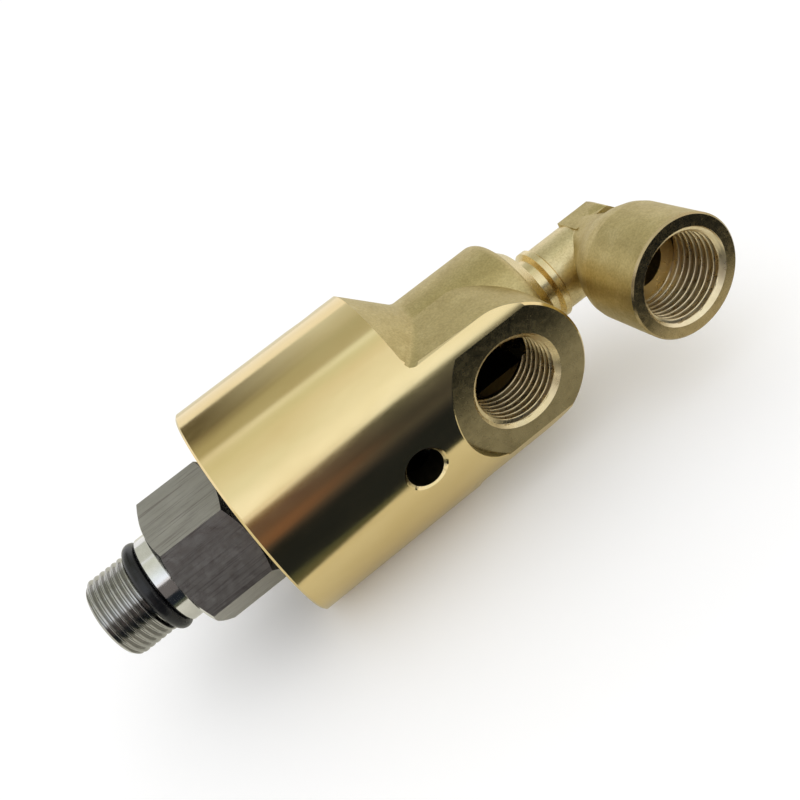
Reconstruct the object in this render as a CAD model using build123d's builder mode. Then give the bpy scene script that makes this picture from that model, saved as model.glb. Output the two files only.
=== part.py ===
from build123d import *
from math import atan, cos, degrees, pi, radians, sin, tan
import os

# Hydraulic rotary union with a radial supply port, a return elbow on the tail and a threaded rotor.
# Millimetres. +X runs along the rotor axis from the shaft thread to the elbow, both hose ports face -Y,
# +Z is up, and x = 0 is where the full shaft thread starts.

# ---- driving dimensions ----

# Rotor
thread_r = 10.0  # M20 x 1.5, drawn at its major diameter
thread_length = 9.2
thread_chamfer = 1.0
rotor_bore_r = 6.25
gland_width = 3.6
gland_depth = 1.8
shaft_ring_stand = 0.4  # the rubber ring stands this far proud of the pilot
pilot_r = 11.0
pilot_length = 4.6
pilot_chamfer = 0.4
hex_across_flats = 30.0
hex_length = 18.2
hex_turn = 12.3  # degrees that one corner stands round from the port
hex_face_r = 14.7
hex_chamfer_angle = 30.0
collar_r = 14.6
collar_length = 4.8
journal_r = 12.5

# Housing
housing_wall = 4.0  # brass outside the bearing bore
housing_gap = 1.4  # from the hex to the housing's mouth
barrel_length = 44.0
edge_chamfer = 0.5
neck_r = 18.0
shoulder_length = 9.5
neck_fillet = 2.7
tail_land_r = 15.2
tail_land_from_mouth = 78.2
tail_face_r = 12.5
tail_face_from_mouth = 81.0
lug_r = 17.3  # half the width across the port lug, and the round of its end
lug_edge = 0.5
port_from_mouth = 61.9
port_face_depth = 4.0  # the flat round the port lies this far below the turned surface
spot_face_inset = 0.6  # the round end of the spot face lies this far inside the lug's width
port_minor_r = 9.32  # G 1/2 parallel thread, drawn at its minor diameter
port_thread_length = 13.8
port_chamfer_r = 10.8
chamber_r = 11.5
chamber_margin = 0.6  # the chamber reaches this far past the port's bore on each side
vent_count = 3
vent_r = 4.25
vent_sink_r = 5.05
vent_from_mouth = 35.1

# Ball bearings, 25 x 47 x 12
bearing_r = 23.5
bearing_width = 12.0
ball_count = 9
ring_wall_share = 0.3  # of the room between journal and bore
ball_share = 0.361
race_clearance = 0.08
cage_half_height = 1.1
cage_margin = 0.73  # cage beyond the balls at each side
shield_thickness = 0.4
shield_inset = 0.4
shield_gap = 0.35
bearing_spacing = 3.0
spacer_wall = 2.2

# Rings that hold the bearings
housing_circlip_width = 1.75
housing_circlip_depth = 1.25
housing_circlip_height = 3.6
rotor_circlip_width = 1.2
rotor_circlip_depth = 0.6
rotor_circlip_height = 3.2
circlip_gap_angle = 28.0
groove_play = 0.1
slinger_thickness = 0.9
slinger_gap = 0.4
slinger_inset = 0.3

# Face seal
nose_length = 3.6  # rotor beyond its circlip groove
seal_ring_r = 10.5
seal_ring_bore_r = 7.6
seal_ring_depth = 3.0
seal_ring_stand = 1.2
seal_cord = 1.5
carbon_face_inner_r = 8.4
carbon_face_outer_r = 9.8
carbon_nose = 1.4
carbon_r = 12.6
carbon_bore_r = 7.4
carbon_length = 3.2
carrier_lip = 1.4
carrier_inset = 1.1  # the carrier's flange clears the seal chamber by this much
carrier_flange = 2.6
stem_r = 10.2
stem_bore_r = 7.4
stem_length = 11.0
seal_travel = 1.2
travel_reserve = 0.4
bearing_shoulder = 3.0  # height of the shoulder behind the rear bearing
spring_pocket_r = 15.6
spring_pocket_depth = 4.0
spring_wire_r = 0.7
spring_turns = 3
stem_land = 4.0
stem_seal_cord = 1.8
pin_count = 2
pin_r = 1.25
pin_inset = 1.8  # from the flange's edge to the pins' centres
pin_depth = 4.0

# Elbow
elbow_thread_r = 8.33  # G 3/8 taper thread, drawn at its major diameter
elbow_nose_r = 7.0
elbow_nose_length = 4.6
relief_r = 7.9
relief_length = 3.6
elbow_collar_r = 9.25
elbow_collar_length = 2.2
elbow_collar_chamfer = 0.7
elbow_groove_r = 8.1
elbow_groove_width = 0.5
arm_r = 8.5
elbow_turn = 2.4  # degrees that the socket points up from straight ahead
socket_from_mouth = 101.0
socket_face_y = 32.9
socket_r = 13.4
socket_edge = 0.4
socket_root_y = 17.0
shoulder_outline = ((9.2, 6.0), (10.3, 9.0), (12.0, 12.0), (13.1, 15.0))  # (radius, y) behind the barrel
corner_outline = ((8.2, 3.0), (6.2, 6.4), (3.0, 8.2))  # (radius, y) round the elbow's outer corner
knuckle_r = 10.3
knuckle_y = 3.9
knuckle_z = 8.6
knuckle_front = 3.4  # from the socket's axis to the knuckle's face on the arm
socket_minor_r = 9.32  # G 1/2 parallel thread, drawn at its minor diameter
socket_thread_length = 15.0
socket_chamfer_r = 10.6
cross_bore_r = 6.0
cross_bore_over = 1.0  # the cross bore runs this far past the return bore
siphon_minor_r = 4.283  # G 1/8 parallel thread, drawn at its minor diameter
siphon_thread_length = 9.0
return_bore_r = 4.0

# Fineness of the small round forms that repeat or lie inside
open_ring_sides = 16
inner_ring_sides = 8
ball_sides = 12
coil_sides = 14  # straight runs in one turn of the spring
wire_sides = 8

# Clearances
slide_gap = 0.05  # between sliding or turning faces
seat_gap = 0.02  # between a piece and the seat that holds it
cord_gap = 0.05  # round a rubber cord
slot_gap = 0.15  # beside an anti-rotation pin

# ---- radii that follow from the bearings, and places along the rotor axis ----

housing_r = bearing_r + housing_wall
port_face_y = housing_r - port_face_depth
spot_face_r = lug_r - spot_face_inset
ball_pitch_r = (bearing_r + journal_r) / 2
ring_wall = ring_wall_share * (bearing_r - journal_r)
ball_r = ball_share * (bearing_r - journal_r)
cage_width = 2 * (ball_r + cage_margin)
seal_chamber_r = bearing_r - bearing_shoulder
carrier_flange_r = seal_chamber_r - carrier_inset
pin_circle_r = carrier_flange_r - pin_inset
tip_x = -thread_chamfer
pilot_x = thread_length + gland_width
hex_x = pilot_x + pilot_length
hex_end_x = hex_x + hex_length
mouth_x = hex_end_x + housing_gap
bearing_x = hex_end_x + collar_length
rear_bearing_x = bearing_x + bearing_width + bearing_spacing
shoulder_x = rear_bearing_x + bearing_width
rotor_groove_end_x = shoulder_x + rotor_circlip_width + groove_play
rotor_end_x = rotor_groove_end_x + nose_length
seal_seat_x = rotor_end_x - seal_ring_depth
seal_face_x = rotor_end_x + seal_ring_stand
carbon_x = seal_face_x + carbon_nose
carbon_end_x = carbon_x + carbon_length
flange_x = carbon_end_x - carrier_lip
flange_end_x = flange_x + carrier_flange
pocket_x = flange_end_x + seal_travel + travel_reserve
pocket_end_x = pocket_x + spring_pocket_depth
chamber_x = pocket_end_x + stem_land
port_x = mouth_x + port_from_mouth
chamber_end_x = port_x + port_minor_r + chamber_margin
barrel_end_x = mouth_x + barrel_length
neck_x = barrel_end_x + shoulder_length
tail_x = mouth_x + tail_face_from_mouth
collar_end_x = tail_x + relief_length + elbow_collar_length
socket_x = mouth_x + socket_from_mouth
vent_x = mouth_x + vent_from_mouth
stem_end_x = carbon_end_x + stem_length
gland_r = thread_r - gland_depth
tail_land_x = mouth_x + tail_land_from_mouth
housing_groove_x = bearing_x - housing_circlip_width - groove_play
stem_groove_width = stem_seal_cord + 2 * groove_play + cord_gap
stem_groove_x = (pocket_end_x + chamber_x - stem_groove_width) / 2
stem_groove_r = stem_r + stem_seal_cord + 2 * cord_gap
elbow_nose_x = chamber_end_x - elbow_nose_length
os.makedirs("parts", exist_ok=True)


# ---- shared shapes ----


def ring(start, length, outer_r, inner_r):
    """A plain ring on the rotor axis."""
    with BuildPart() as piece:
        with BuildSketch(Plane.YZ.offset(start)):
            Circle(outer_r)
            Circle(inner_r, mode=Mode.SUBTRACT)
        extrude(amount=length)
    return piece.part


def turned(*outline):
    """A lathe-turned form: a closed outline of (x, radius) points revolved about the rotor axis."""
    with BuildPart() as piece:
        with BuildSketch(Plane.XY):
            with BuildLine():
                Polyline(*outline, close=True)
            make_face()
        revolve(axis=Axis.X)
    return piece.part


def cord_ring(centre_x, mean_r, cord_r, sides):
    """A rubber ring on the rotor axis; its round section is drawn with this many sides."""
    with BuildPart() as piece:
        with BuildSketch(Plane.XY):
            with Locations((centre_x, mean_r)):
                RegularPolygon(cord_r, sides)
        revolve(axis=Axis.X)
    return piece.part


def write(part, name):
    """Labels a finished piece and writes it as its own file."""
    part.label = name
    export_step(part, f"parts/{name}.step")


# ---- housing: a brass forging, turned, with the flat-sided port lug left as forged ----

with BuildPart() as lug:
    with BuildSketch(Plane.XZ):
        with BuildLine():
            lug_end = CenterArc((port_x, 0), lug_r, -90, 180)
            Polyline(lug_end @ 1, (barrel_end_x - lug_r, lug_r), (barrel_end_x - lug_r, -lug_r), lug_end @ 0)
        make_face()
    extrude(amount=housing_r)
    with BuildSketch(Plane.YZ.offset(mouth_x)):
        Circle(housing_r)
    extrude(amount=tail_x - mouth_x, mode=Mode.INTERSECT)

with BuildPart() as port_facing:
    with BuildSketch(Plane.XZ.offset(port_face_y)):
        with Locations((port_x, 0)):
            Circle(spot_face_r)
            Rectangle(housing_r, 2 * housing_r, align=(Align.MIN, Align.CENTER))
    extrude(amount=housing_r - port_face_y + edge_chamfer)

with BuildPart() as housing:
    with BuildSketch(Plane.XY):
        with BuildLine():
            Polyline(
                (mouth_x, 0),
                (mouth_x, housing_r - edge_chamfer),
                (mouth_x + edge_chamfer, housing_r),
                (barrel_end_x, housing_r),
                (neck_x, neck_r),
                (tail_land_x, neck_r),
                (tail_land_x, tail_land_r),
                (tail_x, tail_face_r),
                (tail_x, 0),
                close=True,
            )
        make_face()
    revolve(axis=Axis.X)
    neck_rings = housing.edges().filter_by(GeomType.CIRCLE).filter_by(lambda edge: abs(edge.radius - neck_r) < seat_gap)
    fillet(neck_rings, neck_fillet)
    add(lug.part)
    add(port_facing.part, mode=Mode.SUBTRACT)
    # Edge break round the lug's end
    with BuildSketch(Plane(origin=(port_x, 0, 0), x_dir=(0, 0, 1), z_dir=(1, 0, 0))):
        with BuildLine():
            Polyline(
                (lug_r - 2 * lug_edge, port_face_y + lug_edge),
                (lug_r + lug_edge, port_face_y + lug_edge),
                (lug_r + lug_edge, port_face_y - 2 * lug_edge),
                close=True,
            )
        make_face()
    revolve(axis=Axis((port_x, 0, 0), (0, 1, 0)), revolution_arc=180, mode=Mode.SUBTRACT)

    # Turned inside: bearing bore, seal chamber, spring pocket, stem bore, supply chamber and tail thread
    with BuildSketch(Plane.XY):
        with BuildLine():
            Polyline(
                (mouth_x, 0),
                (mouth_x, bearing_r + edge_chamfer),
                (mouth_x + edge_chamfer, bearing_r),
                (housing_groove_x, bearing_r),
                (housing_groove_x, bearing_r + housing_circlip_depth),
                (bearing_x, bearing_r + housing_circlip_depth),
                (bearing_x, bearing_r),
                (shoulder_x, bearing_r),
                (shoulder_x, seal_chamber_r),
                (pocket_x, seal_chamber_r),
                (pocket_x, spring_pocket_r),
                (pocket_end_x, spring_pocket_r),
                (pocket_end_x, stem_r + slide_gap),
                (stem_groove_x, stem_r + slide_gap),
                (stem_groove_x, stem_groove_r),
                (stem_groove_x + stem_groove_width, stem_groove_r),
                (stem_groove_x + stem_groove_width, stem_r + slide_gap),
                (chamber_x, stem_r + slide_gap),
                (chamber_x, chamber_r),
                (chamber_end_x, chamber_r),
                (chamber_end_x, elbow_thread_r + seat_gap),
                (tail_x, elbow_thread_r + seat_gap),
                (tail_x, 0),
                close=True,
            )
        make_face()
    revolve(axis=Axis.X, mode=Mode.SUBTRACT)

    # Supply port
    with Locations(Plane(origin=(port_x, -port_face_y, 0), z_dir=(0, -1, 0))):
        CounterSinkHole(port_minor_r, port_chamfer_r, port_thread_length, counter_sink_angle=90)

    # Vent holes round the seal chamber
    for index in range(vent_count):
        outward = Vector(0, -1, 0).rotate(Axis.X, index * 360 / vent_count)
        with Locations(Plane(origin=outward * housing_r + Vector(vent_x, 0, 0), z_dir=outward)):
            CounterSinkHole(vent_r, vent_sink_r, housing_r - journal_r - slide_gap, counter_sink_angle=90)

    # Holes for the anti-rotation pins
    with Locations(Plane.YZ.offset(pocket_x)):
        with PolarLocations(pin_circle_r, pin_count, start_angle=90):
            Cylinder(pin_r, pin_depth, align=(Align.CENTER, Align.CENTER, Align.MIN), mode=Mode.SUBTRACT)
write(housing.part, "housing")

# ---- elbow: a brass forging that screws into the housing's tail and turns the return flow to the front ----

socket_axis = Axis((socket_x, 0, 0), (0, 1, 0))

# Knuckle with two flats, where a wrench holds the elbow
with BuildPart() as knuckle:
    with Locations((socket_x - knuckle_front, 0, 0)):
        Box(
            knuckle_front + knuckle_r,
            2 * knuckle_y,
            2 * knuckle_z,
            align=(Align.MIN, Align.CENTER, Align.CENTER),
        )
    with BuildSketch(Plane.XZ.offset(-knuckle_y)):
        with Locations((socket_x, 0)):
            Circle(knuckle_r)
    extrude(amount=2 * knuckle_y, mode=Mode.INTERSECT)

with BuildPart() as elbow:
    with BuildSketch(Plane.XY):
        with BuildLine():
            Polyline(
                (elbow_nose_x, 0),
                (elbow_nose_x, elbow_nose_r),
                (chamber_end_x, elbow_nose_r),
                (chamber_end_x + elbow_collar_chamfer, elbow_thread_r),
                (tail_x, elbow_thread_r),
                (tail_x, relief_r),
                (tail_x + relief_length, relief_r),
                (tail_x + relief_length + elbow_collar_chamfer, elbow_collar_r),
                (collar_end_x, elbow_collar_r),
                (collar_end_x, elbow_groove_r),
                (collar_end_x + elbow_groove_width, elbow_groove_r),
                (collar_end_x + elbow_groove_width, arm_r),
                (socket_x, arm_r),
                (socket_x, 0),
                close=True,
            )
        make_face()
    revolve(axis=Axis.X)

    # Socket barrel, its rounded shoulder and the elbow's outer corner, turned about the socket's own axis
    with BuildSketch(Plane.XY):
        with BuildLine():
            Polyline(
                (socket_x, arm_r),
                *[(socket_x + r, y) for r, y in reversed(corner_outline)],
                (socket_x + arm_r, 0),
                *[(socket_x + r, -y) for r, y in shoulder_outline],
                (socket_x + socket_r, -socket_root_y),
                (socket_x + socket_r, -socket_face_y + socket_edge),
                (socket_x + socket_r - socket_edge, -socket_face_y),
                (socket_x, -socket_face_y),
                close=True,
            )
        make_face()
    revolve(axis=socket_axis)
    add(knuckle.part)

    # Return passage: socket thread, cross bore, and the run along the shank to the siphon thread in its nose
    with Locations(Plane(origin=(socket_x, -socket_face_y, 0), z_dir=(0, -1, 0))):
        CounterSinkHole(socket_minor_r, socket_chamfer_r, socket_thread_length, counter_sink_angle=90)
        Hole(cross_bore_r, socket_face_y + return_bore_r + cross_bore_over)
    with Locations(Plane(origin=(elbow_nose_x, 0, 0), z_dir=(-1, 0, 0))):
        Hole(siphon_minor_r, siphon_thread_length)
        Hole(return_bore_r, socket_x - elbow_nose_x)
write(elbow.part.rotate(Axis.X, -elbow_turn), "elbow")

# ---- rotor: one steel piece with the shaft thread, the pilot, the wrench hexagon and the bearing journal ----

hex_corner_r = hex_across_flats / 2 / cos(pi / 6)
hex_chamfer = (hex_corner_r - hex_face_r) * tan(radians(hex_chamfer_angle))
with BuildPart() as rotor:
    with BuildSketch(Plane.YZ.offset(hex_x)):
        RegularPolygon(hex_across_flats / 2, 6, major_radius=False, rotation=180 + hex_turn)
    extrude(amount=hex_length)
    with BuildSketch(Plane.XY):
        with BuildLine():
            Polyline(
                (hex_x, 0),
                (hex_x, hex_face_r),
                (hex_x + hex_chamfer, hex_corner_r),
                (hex_end_x - hex_chamfer, hex_corner_r),
                (hex_end_x, hex_face_r),
                (hex_end_x, 0),
                close=True,
            )
        make_face()
    revolve(axis=Axis.X, mode=Mode.INTERSECT)
    with BuildSketch(Plane.XY):
        with BuildLine():
            Polyline(
                (tip_x, 0),
                (tip_x, thread_r - thread_chamfer),
                (0, thread_r),
                (thread_length, thread_r),
                (thread_length, gland_r),
                (pilot_x, gland_r),
                (pilot_x, pilot_r - pilot_chamfer),
                (pilot_x + pilot_chamfer, pilot_r),
                (hex_x, pilot_r),
                (hex_end_x, pilot_r),
                (hex_end_x, collar_r),
                (bearing_x, collar_r),
                (bearing_x, journal_r),
                (shoulder_x, journal_r),
                (shoulder_x, journal_r - rotor_circlip_depth),
                (rotor_groove_end_x, journal_r - rotor_circlip_depth),
                (rotor_groove_end_x, journal_r),
                (rotor_end_x - edge_chamfer, journal_r),
                (rotor_end_x, journal_r - edge_chamfer),
                (rotor_end_x, 0),
                close=True,
            )
        make_face()
    revolve(axis=Axis.X)
    with BuildSketch(Plane.XY):
        with BuildLine():
            Polyline(
                (tip_x, 0),
                (tip_x, rotor_bore_r + edge_chamfer),
                (tip_x + edge_chamfer, rotor_bore_r),
                (seal_seat_x, rotor_bore_r),
                (seal_seat_x, seal_ring_r + seat_gap),
                (rotor_end_x, seal_ring_r + seat_gap),
                (rotor_end_x, 0),
                close=True,
            )
        make_face()
    revolve(axis=Axis.X, mode=Mode.SUBTRACT)
write(rotor.part, "rotor")

# The pilot's rubber ring sits in the gland, a little proud of the pilot
shaft_cord_r = (pilot_r + shaft_ring_stand - gland_r - cord_gap) / 2
shaft_ring_mean_r = gland_r + cord_gap + shaft_cord_r
write(cord_ring(thread_length + gland_width / 2, shaft_ring_mean_r, shaft_cord_r, open_ring_sides), "shaft_o_ring")

# Dust slinger on the rotor's collar, just inside the housing's mouth
slinger_x = mouth_x + slinger_inset
write(ring(slinger_x, slinger_thickness, bearing_r - slinger_gap, collar_r + seat_gap), "slinger")

# ---- two ball bearings, each with rings, shields, cage and balls ----


def bearing_ring(start, wall_r, race_r):
    """A bearing ring between its seat at wall_r and its edge at race_r, with the ball groove turned into it."""
    with BuildPart() as piece:
        with BuildSketch(Plane.XY):
            with BuildLine():
                Polyline(
                    (start, wall_r),
                    (start, race_r),
                    (start + bearing_width, race_r),
                    (start + bearing_width, wall_r),
                    close=True,
                )
            make_face()
            with Locations((start + bearing_width / 2, ball_pitch_r)):
                RegularPolygon((ball_r + race_clearance) / cos(pi / ball_sides), ball_sides, mode=Mode.SUBTRACT)
        revolve(axis=Axis.X)
    return piece.part


def bearing_shields(start):
    """The two thin shields, held by the outer ring and clear of the inner one."""
    outer_r = bearing_r - ring_wall - seat_gap
    inner_r = journal_r + ring_wall + shield_gap
    far_x = start + bearing_width - shield_inset - shield_thickness
    return Compound(
        children=[
            ring(start + shield_inset, shield_thickness, outer_r, inner_r),
            ring(far_x, shield_thickness, outer_r, inner_r),
        ]
    )


def bearing_cage(start):
    """The ring that spaces the balls, with a pocket drilled through it for each."""
    middle_x = start + bearing_width / 2
    with BuildPart() as piece:
        with BuildSketch(Plane.YZ.offset(middle_x - cage_width / 2)):
            Circle(ball_pitch_r + cage_half_height)
            Circle(ball_pitch_r - cage_half_height, mode=Mode.SUBTRACT)
        extrude(amount=cage_width)
        with Locations(Plane.YZ.offset(middle_x)):
            with PolarLocations(ball_pitch_r, ball_count):
                Cylinder(ball_r + race_clearance, 2 * ball_r, rotation=(0, 90, 0), mode=Mode.SUBTRACT)
    return piece.part


band_angle = 2 * pi / ball_sides
with BuildPart() as ball:
    for band in range(ball_sides // 4):
        low = (band - 1 / 2) * band_angle
        high = low + band_angle
        band_height = ball_r * (sin(high) - sin(low))
        flat_step = ball_r * (cos(low) - cos(high)) * cos(pi / ball_sides)
        with BuildSketch(Plane.XY.offset(ball_r * sin(low))):
            RegularPolygon(ball_r * cos(low), ball_sides)
        extrude(amount=band_height, taper=degrees(atan(flat_step / band_height)))
    mirror(about=Plane.XY)


def bearing_balls(start):
    """One full set of balls."""
    with BuildPart() as piece:
        with Locations(Plane.YZ.offset(start + bearing_width / 2)):
            with PolarLocations(ball_pitch_r, ball_count):
                add(ball.part)
    return piece.part


for place, start in (("front", bearing_x), ("rear", rear_bearing_x)):
    write(bearing_ring(start, bearing_r - seat_gap, bearing_r - ring_wall), f"{place}_bearing_outer_ring")
    write(bearing_ring(start, journal_r + seat_gap, journal_r + ring_wall), f"{place}_bearing_inner_ring")
    write(bearing_shields(start), f"{place}_bearing_shields")
    write(bearing_cage(start), f"{place}_bearing_cage")
    write(bearing_balls(start), f"{place}_bearing_balls")

spacer_x = bearing_x + bearing_width
write(ring(spacer_x, bearing_spacing, bearing_r - seat_gap, bearing_r - spacer_wall), "bearing_outer_spacer")
write(ring(spacer_x, bearing_spacing, journal_r + spacer_wall, journal_r + seat_gap), "bearing_inner_spacer")


def circlip(start, width, outer_r, inner_r):
    """A spring ring with its ends left open at the bottom."""
    with BuildPart() as piece:
        with BuildSketch(Plane.YZ.offset(start)):
            Circle(outer_r)
            Circle(inner_r, mode=Mode.SUBTRACT)
            with BuildLine():
                reach = 2 * outer_r
                left = (reach * cos(radians(-90 - circlip_gap_angle / 2)), reach * sin(radians(-90 - circlip_gap_angle / 2)))
                Polyline((0, 0), left, (-left[0], left[1]), close=True)
            make_face(mode=Mode.SUBTRACT)
        extrude(amount=width)
    return piece.part


write(
    circlip(
        bearing_x - housing_circlip_width,
        housing_circlip_width,
        bearing_r + housing_circlip_depth - seat_gap,
        bearing_r - housing_circlip_height + housing_circlip_depth,
    ),
    "housing_circlip",
)
write(
    circlip(
        shoulder_x,
        rotor_circlip_width,
        journal_r + rotor_circlip_height - rotor_circlip_depth,
        journal_r - rotor_circlip_depth + seat_gap,
    ),
    "rotor_circlip",
)

# ---- face seal: a hard ring on the rotor, a carbon ring in a sprung carrier behind it ----

seal_step_r = seal_ring_r - seal_cord - cord_gap
write(
    turned(
        (seal_seat_x, seal_ring_bore_r),
        (seal_seat_x, seal_step_r),
        (seal_seat_x + seal_cord + cord_gap, seal_step_r),
        (seal_seat_x + seal_cord + cord_gap, seal_ring_r),
        (seal_face_x, seal_ring_r),
        (seal_face_x, seal_ring_bore_r),
    ),
    "rotor_seal_ring",
)
seal_cord_r = (seal_cord - cord_gap) / 2
write(
    cord_ring(seal_seat_x + seal_cord / 2, seal_ring_r - cord_gap / 2 - seal_cord / 2, seal_cord_r, inner_ring_sides),
    "rotor_seal_o_ring",
)

write(
    turned(
        (seal_face_x, carbon_face_inner_r),
        (seal_face_x, carbon_face_outer_r),
        (carbon_x, carbon_face_outer_r + edge_chamfer),
        (carbon_x, carbon_r),
        (carbon_end_x, carbon_r),
        (carbon_end_x, carbon_bore_r),
        (carbon_x, carbon_bore_r),
    ),
    "carbon_seal_ring",
)

with BuildPart() as seal_carrier:
    with BuildSketch(Plane.XY):
        with BuildLine():
            Polyline(
                (flange_x, carbon_r + seat_gap),
                (flange_x, carrier_flange_r),
                (flange_end_x, carrier_flange_r),
                (flange_end_x, stem_r),
                (stem_end_x - edge_chamfer, stem_r),
                (stem_end_x, stem_r - edge_chamfer),
                (stem_end_x, stem_bore_r),
                (carbon_end_x, stem_bore_r),
                (carbon_end_x, carbon_r + seat_gap),
                close=True,
            )
        make_face()
    revolve(axis=Axis.X)
    with BuildSketch(Plane.YZ.offset(flange_x)):
        with PolarLocations(pin_circle_r, pin_count, start_angle=90):
            SlotCenterToCenter(2 * (carrier_flange_r - pin_circle_r), 2 * (pin_r + slot_gap))
    extrude(amount=carrier_flange, mode=Mode.SUBTRACT)
write(seal_carrier.part, "seal_carrier")

with BuildPart() as anti_rotation_pins:
    with BuildSketch(Plane.YZ.offset(flange_x)):
        with PolarLocations(pin_circle_r, pin_count, start_angle=90):
            Circle(pin_r - seat_gap)
    extrude(amount=pocket_x + pin_depth - flange_x)
write(anti_rotation_pins.part, "anti_rotation_pins")

stem_cord_r = stem_seal_cord / 2
write(
    cord_ring(
        stem_groove_x + stem_groove_width / 2,
        stem_r + cord_gap + stem_cord_r,
        stem_cord_r,
        inner_ring_sides,
    ),
    "carrier_o_ring",
)

spring_length = pocket_end_x - flange_end_x
spring_pitch = (spring_length - 2 * spring_wire_r - 2 * slide_gap) / spring_turns
spring_mean_r = (spring_pocket_r + stem_r) / 2
spring_start_x = flange_end_x + slide_gap + spring_wire_r
coil_points = []
for step in range(spring_turns * coil_sides + 1):
    turn = step / coil_sides
    around = Vector(0, spring_mean_r, 0).rotate(Axis.X, 360 * turn)
    coil_points.append(around + Vector(spring_start_x + spring_pitch * turn, 0, 0))
with BuildPart() as seal_spring:
    with BuildLine():
        coil = Polyline(*coil_points)
    with BuildSketch(Plane(origin=coil @ 0, z_dir=coil % 0)):
        RegularPolygon(spring_wire_r, wire_sides)
    sweep(path=coil, transition=Transition.RIGHT)
write(seal_spring.part, "seal_spring")
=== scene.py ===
import bmesh
import bpy
from math import atan2, cos, hypot, pi, radians, sin, sqrt, tan
from mathutils import Matrix, Vector


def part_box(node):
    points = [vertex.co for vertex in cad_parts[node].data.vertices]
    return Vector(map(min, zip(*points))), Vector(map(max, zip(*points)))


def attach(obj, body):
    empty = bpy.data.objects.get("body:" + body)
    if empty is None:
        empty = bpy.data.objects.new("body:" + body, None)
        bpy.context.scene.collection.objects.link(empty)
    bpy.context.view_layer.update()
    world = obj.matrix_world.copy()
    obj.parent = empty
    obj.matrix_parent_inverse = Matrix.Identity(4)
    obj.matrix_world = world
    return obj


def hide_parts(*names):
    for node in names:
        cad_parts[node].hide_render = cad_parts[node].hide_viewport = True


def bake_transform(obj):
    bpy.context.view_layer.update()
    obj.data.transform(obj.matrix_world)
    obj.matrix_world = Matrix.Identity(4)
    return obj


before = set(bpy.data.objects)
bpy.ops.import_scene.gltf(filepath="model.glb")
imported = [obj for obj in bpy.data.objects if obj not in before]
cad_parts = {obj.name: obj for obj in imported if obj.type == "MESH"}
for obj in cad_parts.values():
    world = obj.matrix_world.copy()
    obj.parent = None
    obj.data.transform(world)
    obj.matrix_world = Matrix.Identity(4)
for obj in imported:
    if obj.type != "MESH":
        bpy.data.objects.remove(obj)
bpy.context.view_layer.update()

MM = 0.001
body_low, body_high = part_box("housing")
rotor_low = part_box("rotor")[0]

# ---- how near a point or a direction has to come to count, in metres or as a cosine ----
TOUCH = 0.02 * MM
ON_FACE = 3e-6
ON_ROUND = 4e-6
FLAT_RUN = 2e-6
SAME_WAY = 0.985
WELD = 2e-6
SPECK = 2e-11

# ---- angles in degrees over which an edge stays sharp ----
SHARP_OVER = 50
RING_SHARP_OVER = 60
FILLET_SHARP_OVER = 20
DRESSED_SHARP_OVER = 28

# ---- sizes that the dressed forms share with the solids, in metres ----
BARREL_R = body_high.z
MOUTH_X = body_low.x
TAIL_X = body_high.x
BARREL_END_X = MOUTH_X + 44 * MM
NECK_R = 18 * MM
NECK_FILLET = 2.7 * MM
NECK_FILLET_REACH = NECK_FILLET * tan(radians(22.5))
SHOULDER = 9.5 * MM
LUG_R = 17.3 * MM
SPOT_R = LUG_R - 0.6 * MM
PORT_X = MOUTH_X + 61.9 * MM
PORT_FACE = 23.5 * MM
PORT_CHAMFER = 10.8 * MM
PORT_DEPTH = 13.8 * MM
CHAMBER_R = 11.5 * MM
SOCKET_X = MOUTH_X + 101 * MM
SOCKET_FACE = 32.9 * MM
# half outlines of the elbow's socket and rounded corner: (radius, distance in front of the axis), in mm
SHOULDER_OUTLINE = ((8.5, 0), (9.2, 6.0), (10.3, 9.0), (12.0, 12.0), (13.1, 15.0), (13.4, 17.0))
CORNER_OUTLINE = ((8.5, 0), (8.2, -3.0), (6.2, -6.4), (3.0, -8.2), (0, -8.5))
ELBOW_TURN = Matrix.Rotation(radians(-2.4), 4, "X")
TAIL_LAND_X = MOUTH_X + 78.2 * MM
SOCKET_CHAMFER = 10.6 * MM
SOCKET_DEPTH = 15.0 * MM
G_MINOR = 9.32 * MM
G_DEPTH = 1.162 * MM
G_PITCH = 1.814 * MM
BORE_SIDES = 112
BORE_SHARP = 1.45
ROWS_PER_PITCH = 14
SHAFT_R = 10.0 * MM
SHAFT_DEPTH = 0.92 * MM
SHAFT_PITCH = 1.5 * MM
SHAFT_SIDES = 120
SHAFT_SHARP = 1.3
SHAFT_END = 9.2 * MM
SHAFT_CHAMFER = 1.0 * MM
GLAND_R = 8.2 * MM
HEX_START = 17.35 * MM
HEX_END = 35.65 * MM
VENT_X = MOUTH_X + 35.1 * MM
VENT_RIM = 5.2 * MM
VENT_COUNT = 3


# ---- finishes ----

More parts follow.
